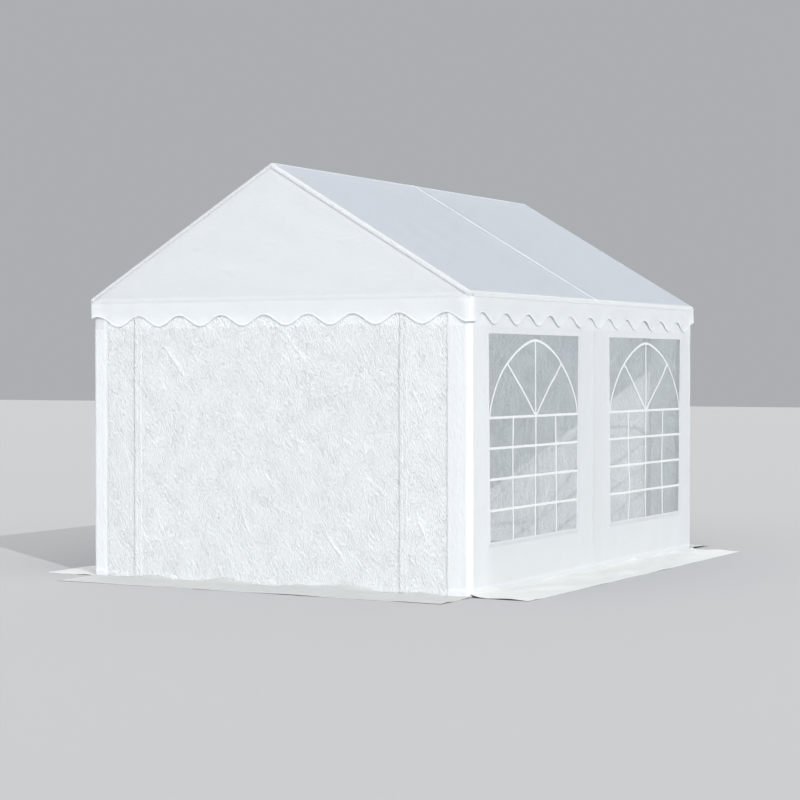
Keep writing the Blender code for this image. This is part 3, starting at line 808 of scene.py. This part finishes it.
def make_long_wall(side, start, end, front, seed, half):
    """A strip of the walk from start to end, half a walk further on for the left side."""
    name = f"long_wall_{side}"
    near, far = (-opening_far, -opening_near) if front else (opening_near, opening_far)
    window = [place_on_right(near), place_on_right(far)]
    hem = [window[0] - WINDOW_HEM, window[1] + WINDOW_HEM]
    bends = [corner_right_front, right_start] if front else [right_end, right_end + wall_walk.arc]
    strip = [bends[0] - CORNER_STRIP, bends[1]] if front else [bends[0], bends[1] + CORNER_STRIP]
    edges = [start, start + EDGE_HEM, end - 2 * EDGE_HEM, end - EDGE_HEM, end]
    steps = np.array([*hem, *strip])
    columns = joined(
        stations(*sorted([*edges, *window, *hem, *strip, start + OVERLAP]), step=0.018),
        stations(*bends, step=0.0045), steps - BESIDE, steps + BESIDE,
    )
    below = opening_sill - WINDOW_HEM
    levels = [0.003, FOOT_HEM, FOOT_HEM + BESIDE, below - BESIDE, below, opening_sill, opening_head,
              TOP_HEM, TOP_HEM + BESIDE, WALL_TOP]
    place, z = np.meshgrid(columns, stations(*levels, step=0.02))
    at_edges = smooth(np.abs(place - window[0]), 0.15, 0) - smooth(np.abs(place - window[1]), 0.15, 0)
    points, normals = wall_walk.at(place + half + at_edges * narrowed(z))
    from_window = np.maximum(
        np.maximum(window[0] - place, place - window[1]), np.maximum(opening_sill - z, z - opening_head)
    )
    from_band, from_seam = (place - start, end - place) if front else (end - place, place - start)
    band = bends[1] - start if front else end - bends[0]
    on_band = from_band < band - 1e-4
    at_band = from_band < (EDGE_HEM if front else 2 * EDGE_HEM) + 0.0005
    at_seam = from_seam < EDGE_HEM + 0.0005
    on_strip = (place > strip[0]) & (place < strip[1] + 1e-4)
    doubled = (from_window < WINDOW_HEM + TOUCH) | (z < FOOT_HEM + TOUCH)
    free = smooth(from_window, 0, 0.12) * smooth(WALL_TOP - z, 0, 0.3) * smooth(z, 0.03, 0.15)
    broad = 0.0011 * waves(place, z, seed, 0.45, 3.0) + 0.0005 * waves(place, z, seed + 1, 0.09, 3.0, 0.15)
    relief = free * ~on_band * broad + 0.0006 * doubled
    relief += 0.0005 * on_band * waves(place, z, seed + 2, 0.2, 2.0) + 0.0008 * (at_band | at_seam)
    points += normals * relief[..., None]
    points[..., 2] = z
    at_post = smooth(np.abs(from_band - band), 0.30, 0.12) * ~on_band
    at_top = z > TOP_HEM
    tone = 0.995 + 0.17 * on_band + 0.07 * on_strip + 0.02 * doubled
    if front:
        tone += 0.08 * at_post + 0.06 * at_top
    else:
        tone += 0.09 * at_band + 0.06 * (at_top & ~on_band) - 0.02 * (from_seam < OVERLAP)
        tone = np.where(at_top & on_band & ~at_band, 1.06, tone)
    holes = cells(from_window < TOUCH)
    piece = make_sheet(name, points, normals, stacked(place + half, z), side_cloth, tone, holes=holes)
    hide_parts(f"wall_{side}")
    band_edge = start + TAPE_HALF - 0.001 if front else end - TAPE_HALF + 0.001
    tapes = [make_tape(f"band_hem_{name}", band_edge, half, seed + 2)]
    if front:
        tapes.append(make_tape(f"mid_seam_{name}", end, half, seed + 4))


front_half = (corner_right_front - (WIDE_BAND - CORNER_BEND), place_on_right(SEAM), True)
back_half = (place_on_right(SEAM + 0.0006), right_end + wall_walk.arc + NARROW_BAND - CORNER_BEND, False)
make_long_wall("right_front", *front_half, 51, 0)
make_long_wall("right_back", *back_half, 53, 0)
make_long_wall("left_back", *front_half, 55, wall_walk.length / 2)
make_long_wall("left_front", *back_half, 57, wall_walk.length / 2)

# %% [markdown]
# ## Windows
#
# A window is a sheet of clear soft plastic sewn behind its opening, with a pattern of white bars welded
# on. The plastic is never quite flat: it bulges by a few millimetres. The bars are ribbons that follow
# the same bulge, half a millimetre in front of it, and they end where the opening's slanting sides are.

# %% Clear film and bar finishes
film = Finish("window_film", IOR=1.45)
flat = film.flat()
haze = film.noise(flat, 2.2, detail=3)
streaks = film.noise(film.drawn_out(flat, 0.2), 55, detail=3, roughness=0.65, bend=0.8).ramp(0.25, 0.75)
film.set(
    Base_Color=film.scaled((0.86, 0.915, 0.92), 0.91 + haze * 0.06 + streaks * 0.06),
    Alpha=0.035 + haze * 0.05 + streaks * 0.10,
    Roughness=0.05 + streaks * 0.08,
    Normal=film.bump(streaks, 0.0006),
)
print_finish = Finish("window_print", IOR=1.45)
rub = print_finish.noise(print_finish.flat(), 30, detail=4, roughness=0.7)
print_finish.set(
    Base_Color=print_finish.scaled((0.64, 0.655, 0.665), 0.95 + rub * 0.08),
    Roughness=0.38 + rub * 0.15,
    Normal=print_finish.bump(rub, 0.0002),
)
print("window finishes:", film.material.name, print_finish.material.name)

# %% The bars' pattern
BAR_WIDTH = 0.0165
BAR_HEIGHTS = (1.150, 0.949, 0.745, 0.540)
SIDE_BAR = 0.350
ARCH_HALF, ARCH_RISE, ARCH_FOOT = 0.71, 0.511, 1.155
ARCH_POWER = 1.62  # 2 would be an ellipse
SPOKE_END = (0.435, 1.507)
window_middle = (opening_near + opening_far) / 2
window_half = (opening_far - opening_near) / 2


def bar_paths():
    """The middle lines of the bars, as arrays of places across and up the window.

    The arch is cosine and sine of half a turn, each to the power 2 / ARCH_POWER, times its half width
    and its rise.
    """
    steps = np.linspace(0, 1, 50)
    paths = [(window_half * (2 * steps - 1), np.full(50, height)) for height in BAR_HEIGHTS]
    for a, top in ((0, ARCH_FOOT + ARCH_RISE), (-SIDE_BAR, BAR_HEIGHTS[0]), (SIDE_BAR, BAR_HEIGHTS[0])):
        paths.append((np.full(50, a), opening_sill + (top - opening_sill) * steps))
    turn = math.pi * np.linspace(0.002, 0.998, 90)
    curve = 2 / ARCH_POWER
    paths.append((ARCH_HALF * np.sign(np.cos(turn)) * np.abs(np.cos(turn)) ** curve,
                  ARCH_FOOT + ARCH_RISE * np.sin(turn) ** curve))
    for side in (-1, 1):
        paths.append((side * SPOKE_END[0] * steps, BAR_HEIGHTS[0] + (SPOKE_END[1] - BAR_HEIGHTS[0]) * steps))
    return paths


print(f"{len(bar_paths())} bars on a window of {2 * window_half:.3f} m")

# %% Make films and bars
FILM = 0.0005
FILM_X = WALL_X - CLOTH - 0.0006
BAR_LIFT = 0.0006
LIFT_STEP = 0.0002  # each bar lies this much further out than the last, so that no two share a face


def film_bulge(a, z, seed):
    """How far the film stands out at a metres from its middle: waves, held to nothing at its edges."""
    edge = smooth(window_half - np.abs(a), 0, 0.25) * smooth(z, opening_sill, opening_sill + 0.25)
    edge = edge * smooth(opening_head - z, 0, 0.25)
    return edge * (0.0035 * waves(a, z, seed, 0.8, 1.6) + 0.0008 * waves(a, z, seed + 1, 0.16, 4.0))


def ribbon(path_a, path_z, lift, y_middle, seed, turned):
    """Points, normals and flat places of a bar: its path moved by half the width to both sides.

    The sideways direction is the path's own direction turned a quarter turn, and the bar lies lift
    metres in front of the film's bulge.
    """
    da, dz = np.gradient(path_a), np.gradient(path_z)
    size = np.hypot(da, dz)
    offsets = BAR_WIDTH * np.array([-0.5, -0.17, 0.17, 0.5])[:, None]
    a = path_a - offsets * dz / size
    z = np.clip(path_z + offsets * da / size, opening_sill, opening_head)
    a = np.clip(a, narrowed(z) - window_half, window_half - narrowed(z))
    x = FILM_X + film_bulge(a, z, seed) + lift
    return *placed(x, y_middle + a, z, (1, 0, 0), turned), stacked(a, z)


def make_window(side, y_sign, turned, seed):
    """A film, its points set out a metres from the window's middle, and the bars in front of it."""
    y_middle = y_sign * window_middle
    reach = window_half + SIDE_OVERLAP
    a, z = np.meshgrid(stations(-reach, reach, step=0.022), stations(film_low.z, film_high.z, step=0.022))
    points, normals = placed(FILM_X + film_bulge(a, z, seed), y_middle + a, z, (1, 0, 0), turned)
    sheet = make_sheet(
        f"window_film_{side}", points, normals, stacked(a + seed, z), film.material, thickness=FILM
    )
    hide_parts(f"window_{side}")
    bars = [
        make_sheet(
            f"window_bar_{side}_{number}",
            *ribbon(*path, BAR_LIFT + LIFT_STEP * number, y_middle, seed, turned),
            print_finish.material,
            thickness=BAR_LIFT,
        )
        for number, path in enumerate(bar_paths())
    ]
    bpy.ops.object.select_all(action="DESELECT")
    for bar in bars:
        bar.select_set(True)
    bpy.context.view_layer.objects.active = bars[0]
    bpy.ops.object.join()
    bars[0].name = f"window_bars_{side}"


make_window("right_front", -1, AS_MADE, 61)
make_window("right_back", 1, AS_MADE, 63)
make_window("left_back", -1, HALF_TURN, 65)
make_window("left_front", 1, HALF_TURN, 67)

# %% [markdown]
# ## Gable walls
#
# The gable is one sheet with a long zip on each side of the door, so that the middle can be rolled up.
# It is the most crumpled cloth of all, because it hangs loose between its zips. Cloth simulation would
# give soft folds, and these are hard creases from the bag, so the relief is worked out: low waves, the
# few large creases that mark this tent, and some hundred small ones. The same relief runs on over the
# door and over the strips beside it, as the sheet was creased before it was cut. It fades where the
# corner bands and the zips hold the cloth flat, and at the hems.

# %% Gable relief
ZIP_FLAP = 0.058
ZIP_FLAPS = (door_low.x - 0.004, door_high.x - 0.028)
# Middle across, middle up, half the length, lean from upright and strength of each large crease.
LARGE_CREASES = np.array([
    (-0.80, 1.52, 0.13, 0.66, 1.0), (-0.91, 1.48, 0.04, 0.63, 0.4), (0.16, 1.64, 0.15, 0.70, 1.0),
    (0.07, 1.57, 0.07, 0.86, 0.5), (-0.63, 1.56, 0.05, 0.52, 0.7), (-1.00, 1.02, 0.08, 0.75, 0.9),
    (-0.62, 1.09, 0.05, 0.83, 0.4), (-0.25, 1.14, 0.09, 0.77, 0.45), (0.12, 0.98, 0.05, 0.78, 0.6),
    (0.22, 0.98, 0.05, 1.14, 0.7), (0.60, 0.97, 0.03, 0.77, 0.6), (0.72, 0.93, 0.06, 0.18, 0.5),
    (0.81, 0.69, 0.10, 0.91, 0.8), (-0.80, 0.72, 0.08, 0.93, 0.6), (-0.27, 0.65, 0.04, 0.59, 0.6),
    (-0.22, 0.43, 0.08, 0.40, 0.8), (-1.04, 0.27, 0.08, 0.61, 0.8), (-0.92, 0.38, 0.07, 0.46, 0.7),
    (-0.76, 0.26, 0.05, 0.83, 0.5), (-0.37, 0.24, 0.04, 0.61, 0.5), (0.37, 0.28, 0.07, 0.60, 0.5),
    (0.50, 0.27, 0.10, 0.70, 1.0), (0.64, 0.34, 0.06, 0.50, 0.5), (1.15, 0.42, 0.10, 0.42, 0.9),
    (1.11, 1.27, 0.06, 0.52, 0.6), (1.25, 1.33, 0.05, 0.74, 0.4), (-0.10, 0.08, 0.03, 0.39, 0.6),
    (-0.94, 0.45, 0.08, 0.73, 0.5), (0.21, 0.56, 0.05, 0.44, 0.5),
])
LARGE_WIDTH, LARGE_HEIGHT = 0.0082, 0.0046
SMALL_WIDTH = 0.0080


def large_creases(x, z):
    """The sum of the humps of LARGE_CREASES, each its height times a hump across and a bell along it.

    The second grid is how much the coating has gone white along each hump's crest, from 0 to 1.
    """
    total = np.zeros(x.shape)
    whitened = np.zeros(x.shape)
    for middle_x, middle_z, long, turn, strength in LARGE_CREASES:
        across, along = across_and_along(x - middle_x, z - middle_z, turn)
        fade = strength * bell(along, long, 4)
        total += LARGE_HEIGHT * fade * hump(across, LARGE_WIDTH, 0.4, 2.2, 1.6)
        whitened = np.maximum(whitened, fade * bell(across, 0.7 * LARGE_WIDTH))
    return total, whitened


def gable_relief(x, z, seed):
    """Folded waves and creases, in metres outwards, times a mask that fades at bands, zips and hems.

    The second grid is how white the creases' crests have gone.
    """
    broad = 0.0004 * waves(x, z, seed, 0.7, 1.5, CREASE_LEAN)
    fold = 0.0002 * (0.8 - np.abs(waves(x, z, seed + 1, 0.12, 2.4, CREASE_LEAN)))
    sharp, whitened = large_creases(x, z)
    small = creases(x, z, seed + 3, 80, 0.09, SMALL_WIDTH, 0.0017, CREASE_LEAN + 0.18, 0.2)
    small += creases(x, z, seed + 4, 420, 0.040, SMALL_WIDTH, 0.0006, CREASE_LEAN + 0.05, 0.3)
    whitened = np.maximum(whitened, np.clip(small / 0.0045, 0, 0.35))
    calm = smooth(z, 0.0, 0.09) * smooth(WALL_TOP - z, 0.0, 0.3)
    calm = calm * smooth(x, -1.375, -1.345) * smooth(x, 1.335, 1.305)
    for zip_x in ZIP_FLAPS:
        calm = calm * (1 - 0.85 * (1 - smooth(np.abs(x - zip_x - 0.5 * ZIP_FLAP), 0.02, 0.05)))
    return calm * (broad + fold + sharp + small), calm * whitened


def gable_frame(x, z, out, turned):
    """Points at x and z on the gable wall's outer plane, moved out, and their normals."""
    return placed(x, -(GABLE_WALL_Y + out), z, (0, -1, 0), turned)


def make_gable_sheet(name, node, xs, zs, turned, seed, with_door=False):
    """The grid of xs and zs with the gable's relief, and the door's cells left open if it has one."""
    x, z = np.meshgrid(xs, zs)
    relief, whitened = gable_relief(x, z, seed)
    points, normals = gable_frame(x, z, relief, turned)
    in_door = (x > door_low.x - TOUCH) & (x < door_high.x + TOUCH) & (z < door_high.z + TOUCH)
    tone = 1 + 0.10 * smooth(z, TOP_HEM, TOP_HEM + 0.012) + 0.06 * smooth(z, 0.05, 0.035)
    tone = tone + 0.02 * (x > door_high.x) + 0.30 * whitened
    tone = tone - 0.035 * smooth(ZIP_FLAPS[0] - x, 0.05, 0.0) * (x < ZIP_FLAPS[0] + 0.02)
    holes = cells(in_door) if with_door else None
    piece = make_sheet(name, points, normals, stacked(x + seed, z), wall_cloth, tone, holes=holes)
    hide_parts(node)
    return piece


print(f"{len(LARGE_CREASES)} large creases, the highest {LARGE_HEIGHT * 1000:.1f} mm")

# %% [markdown]
# ## Zips
#
# A zip is two tapes with a nylon coil, and a flap of cloth covers it outside against the rain. The flap
# is sewn along its right edge, and its left edge stands off by a few millimetres and throws the dark
# line beside each zip. Two rows of stitches pull shallow grooves into it, and one of them puckers from
# stitch to stitch. Tapes and coil show inside. The coil is a run of small ridges carried along the zip:
# an Array modifier could also give it, but with many more faces.

# %% Make zip flaps
STITCH = 0.017


def rib(across, middle, half):
    """A low rounded rib: the positive part of 1 - ((across - middle) / half) squared."""
    return np.clip(1 - ((across - middle) / half) ** 2, 0, 1)


def make_zip_flap(name, left, turned, seed, low):
    """A strip up the zip: its left edge stands 5 mm out, and grooves and a rib run up it.

    Low is the height of the right edge, which is sewn down.
    """
    columns = joined([0.0006], np.linspace(0, ZIP_FLAP, 31))
    across, z = np.meshgrid(columns, stations(0.008, door_high.z - 0.01, step=STITCH / 4))
    lift = np.interp(across, [0, 0.001, 0.004, 0.03, ZIP_FLAP - 0.0015, ZIP_FLAP],
                     [0.0050, 0.0058, 0.0060, 0.0040, low + 0.0006, low])
    pucker = 0.6 + 0.4 * np.cos(2 * math.pi * z / STITCH)
    ribs = 0.4 * low * rib(across, ZIP_FLAP - 0.004, 0.004) - 0.0007 * rib(across, 0.042, 0.002)
    ribs = ribs - 0.0014 * pucker * rib(across, 0.025, 0.0025)
    wander = 0.0006 * waves(z, 0 * z, seed, 0.35) * (1 - across / ZIP_FLAP)
    x = left + across + 0.0012 * waves(z, 0 * z, seed + 1, 0.5)
    points, normals = gable_frame(x, z, lift + ribs + wander, turned)
    tone = 1 + 0.09 * (bell(across - 0.024, 0.005) + bell(across - 0.050, 0.005))
    tone = tone - 0.15 * smooth(across, 0.007, 0.003)
    piece = make_sheet(name, points, normals, stacked(x + seed, z), wall_cloth, tone)
    return piece


# %% Make zips
ZIP_TAPE = 0.015
COIL_HALF = 0.003
COIL_PITCH = 0.0045
ZIP_WEAVE = 0.0012
ZIP_ACROSS = np.array([-ZIP_TAPE, -0.0045, -COIL_HALF, -0.0012, 0.0012, COIL_HALF, 0.0045, ZIP_TAPE])
ZIP_RISE = np.array([0, 0, 0.0004, 1, 1, 0.0004, 0, 0])
zip_finish = Finish("zip", IOR=1.45)
_, place_up, _ = zip_finish.parts(zip_finish.flat())
dust = zip_finish.noise(zip_finish.flat(), 60, detail=3)
zip_finish.set(
    Base_Color=zip_finish.scaled((0.70, 0.71, 0.72), 0.9 + dust * 0.15),
    Roughness=0.5 + dust * 0.2,
    Normal=zip_finish.bump((place_up * (2 * math.pi / ZIP_WEAVE)).sine(), 0.0001),
)


def make_zip(name, middle, turned):
    """Tapes and coil inside the gable: a strip whose middle rises and falls once every COIL_PITCH."""
    x, z = np.meshgrid(middle - ZIP_ACROSS, np.arange(0.01, door_high.z - 0.02, COIL_PITCH / 4))
    ridge = 0.5 + 0.5 * np.cos(2 * math.pi * z / COIL_PITCH)
    inwards = CLOTH + 0.0009 + ZIP_RISE * (0.0012 + 0.0010 * ridge)
    points, normals = gable_frame(x, z, -inwards, turned)
    piece = make_sheet(name, points, -normals, stacked(x, z), zip_finish.material, thickness=0.0007)
    return piece


# %% Make both gables
GABLE_STEP = 0.0094
SLIT = 0.0005  # the gap between the door and the wall
FLAP_LOWS = (0.0019, 0.0026)


def make_gable(end, turned, seed):
    """The wall round the door, the door, and a zip with its flap on each side of the door.

    The cloth that is left round the door is 0.27 of the wall's width times its height, so its area is
    declared as LEAST_SHARE of it, 12 % more than it has.
    """
    xs = stations(gable_low.x, door_low.x, door_high.x, gable_high.x, step=GABLE_STEP)
    zs = stations(0.002, door_high.z, WALL_TOP, step=GABLE_STEP)
    wall = make_gable_sheet(f"gable_cloth_wall_{end}", f"gable_wall_{end}", xs, zs, turned, seed, True)
    xs = stations(door_low.x + SLIT, door_high.x - SLIT, step=GABLE_STEP)
    zs = stations(0.002, door_high.z - SLIT, step=GABLE_STEP)
    door = make_gable_sheet(f"door_sheet_{end}", f"door_flap_{end}", xs, zs, turned, seed)
    flaps, zips = [], []
    for side, left, middle, low in zip(("left", "right"), ZIP_FLAPS, (door_low.x, door_high.x), FLAP_LOWS):
        flaps.append(make_zip_flap(f"zip_flap_{end}_{side}", left, turned, seed + 5 + len(flaps), low))
        zips.append(make_zip(f"zip_{end}_{side}", middle, turned))


make_gable("front", AS_MADE, 71)
make_gable("back", HALF_TURN, 91)

# %% [markdown]
# ## Skirts
#
# Along the foot of each wall a strip of cloth lies on the ground, to be weighed down or pegged. It is a
# laid sheet: nearly flat, lifted in long low waves as by uneven ground, and a little higher where it is
# sewn to the wall. Its outer edge wanders by a few millimetres.

# %% Make the skirts
SKIRT_WIDTH = skirt_high.x - skirt_low.x
HEM_SHARE = 0.955


def make_skirt(name, outwards, half_length, wall_at, seed, shade):
    """A strip on the ground: row by row from its outer edge to the wall, at wall_at from the middle.

    Its height is that of low lumps and of folded waves, plus a foot that falls off from the wall.
    """
    out = np.array([*outwards, 0.0])
    along = np.array([-out[1], out[0], 0.0])
    rows = np.concatenate([np.linspace(1, 0.12, 22), np.linspace(0.10, 0, 7)])
    u, share = np.meshgrid(stations(-half_length, half_length, step=0.021), rows)
    width = SKIRT_WIDTH - 0.006 * (1 + waves(u, 0 * u, seed, 0.55) / 2.5).clip(0, 2)
    distance = share * width
    lumps = np.clip(waves(u, distance, seed + 1, 0.62, 0.8) + 0.2, 0, 3)
    lumps = lumps * smooth(distance, 0.0, 0.1) * (1 - 0.75 * smooth(share, 0.6, 0.97))
    crumple = 0.0012 * (1 - np.abs(waves(u, distance, seed + 2, 0.11, 1.5, 0.7))).clip(0, 1)
    foot = (0.014 + 0.010 * waves(u, 0 * u, seed + 3, 0.6)).clip(0.003, 0.034)
    points = along * u[..., None] + out * (wall_at + 0.0006 + distance)[..., None]
    points[..., 2] = 0.0018 + 0.0065 * lumps + crumple + foot * np.exp(-distance / 0.05)
    normals = np.broadcast_to(np.array([0, 0, 1.0]), points.shape)
    tone = shade * (1 + 0.04 * (share > HEM_SHARE))
    flat = stacked(u + seed, distance)
    piece = make_sheet(f"ground_skirt_{name}", points, normals, flat, skirt_cloth, tone)
    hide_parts(f"skirt_{name}")


make_skirt("front", (0, -1), WALL_X, WALL_Y, 101, 0.60)
make_skirt("right", (1, 0), WALL_Y, WALL_X, 111, 0.80)
make_skirt("back", (0, 1), WALL_X, WALL_Y, 121, 0.60)
make_skirt("left", (-1, 0), WALL_Y, WALL_X, 131, 0.80)

# %% [markdown]
# ## Steel frame
#
# The tubes and their sleeves keep the CAD model's own meshes and get a painted finish: white powder
# coat with a faint orange peel, a little dust, and duller patches where the tubes are handled. The
# finish reads Object coordinates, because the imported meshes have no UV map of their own.

# %% Paint the frame
TUBES = ("post_", "rafter_", "eave_rail_", "ridge_rail_", "gable_bar_")
BARE_STEEL = (0.45, 0.45, 0.44)


def painted_steel(name, colour, rough, peel):
    """Paint with clouds of dust, scuffs where a fine noise is high, and a peel of the given height."""
    steel = Finish(name, IOR=1.5)
    place = steel.node("ShaderNodeTexCoord", {}, {}, output="Object")
    dust = steel.noise(place, 3.5, detail=4, roughness=0.65)
    scuffs = steel.noise(place, 42, detail=5, roughness=0.75).ramp(0.62, 0.72)
    steel.set(
        Base_Color=steel.mix(scuffs * 0.35, steel.scaled(colour, 0.92 + dust * 0.12), BARE_STEEL),
        Roughness=rough + dust * 0.15 + scuffs * 0.2,
        Normal=steel.bump(steel.noise(place, 420, detail=1), peel),
    )
    return steel.material


tube_paint = painted_steel("frame_tube", (0.78, 0.79, 0.80), 0.30, 0.00008)
fitting_paint = painted_steel("frame_fitting", (0.72, 0.73, 0.74), 0.38, 0.00015)
for name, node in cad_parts.items():
    is_fitting = "connector" in name
    if is_fitting or name.startswith(TUBES):
        node.data.materials.clear()
        node.data.materials.append(fitting_paint if is_fitting else tube_paint)
print("paints:", tube_paint.name, fitting_paint.name)

# %% [markdown]
# ## Floor, light and camera
#
# A large pale floor and an even backdrop keep the eye on the tent. One narrow strong lamp stands for
# the sun from the front right, because the short shadows of the valance and of the window bars need it.
# Three very wide ones fill the shade, from the front, the right and behind. The camera stands where the
# photograph was taken: 13 m off, with a long lens, 28.5 degrees round from the gable and at the height
# of the shoulders.

# %% Floor, light and camera
FLOOR_HALF = 60.0
floor_mesh = bpy.data.meshes.new("floor")
floor_corners = [(x * FLOOR_HALF, y * FLOOR_HALF, 0) for x, y in ((-1, -1), (1, -1), (1, 1), (-1, 1))]
floor_mesh.from_pydata(floor_corners, [], [(0, 1, 2, 3)])
floor_finish = Finish("floor", Base_Color=(0.352, 0.357, 0.361), Roughness=0.9)
floor_mesh.materials.append(floor_finish.material)
floor = bpy.data.objects.new("floor", floor_mesh)
bpy.context.scene.collection.objects.link(floor)

world = bpy.data.worlds.new("studio")
bpy.context.scene.world = world
world.use_nodes = True
background = world.node_tree.nodes["Background"]
background.inputs["Color"].default_value = (0.94, 0.97, 1.0, 1)
background.inputs["Strength"].default_value = 0.44


def far_lamp(name, towards, strength, angle):
    """A lamp far off in the direction given; a larger angle makes softer shadows."""
    lamp = bpy.data.lights.new(name, "SUN")
    lamp.energy = strength
    lamp.angle = math.radians(angle)
    holder = bpy.data.objects.new(name, lamp)
    holder.rotation_euler = Vector(towards).to_track_quat("Z", "Y").to_euler()
    bpy.context.scene.collection.objects.link(holder)


far_lamp("key", (0.707, -0.505, 0.495), 2.12, 0.6)
far_lamp("fill", (0.25, -0.85, 0.85), 2.37, 120)
far_lamp("side", (1.0, -0.2, 0.4), 0.90, 120)
far_lamp("back", (-0.7, 0.9, 0.35), 1.5, 120)

camera_data = bpy.data.cameras.new("camera")
camera_data.lens = 92.53
camera_data.sensor_width = 36.0
camera = bpy.data.objects.new("camera", camera_data)
camera.location = (7.402, -13.804, 1.482)
camera.rotation_euler = (math.radians(90 - 0.91), 0, math.radians(28.54))
bpy.context.scene.collection.objects.link(camera)
bpy.context.scene.camera = camera
bpy.context.scene.view_settings.view_transform = "Standard"
print("camera at", [round(x, 2) for x in camera.location])
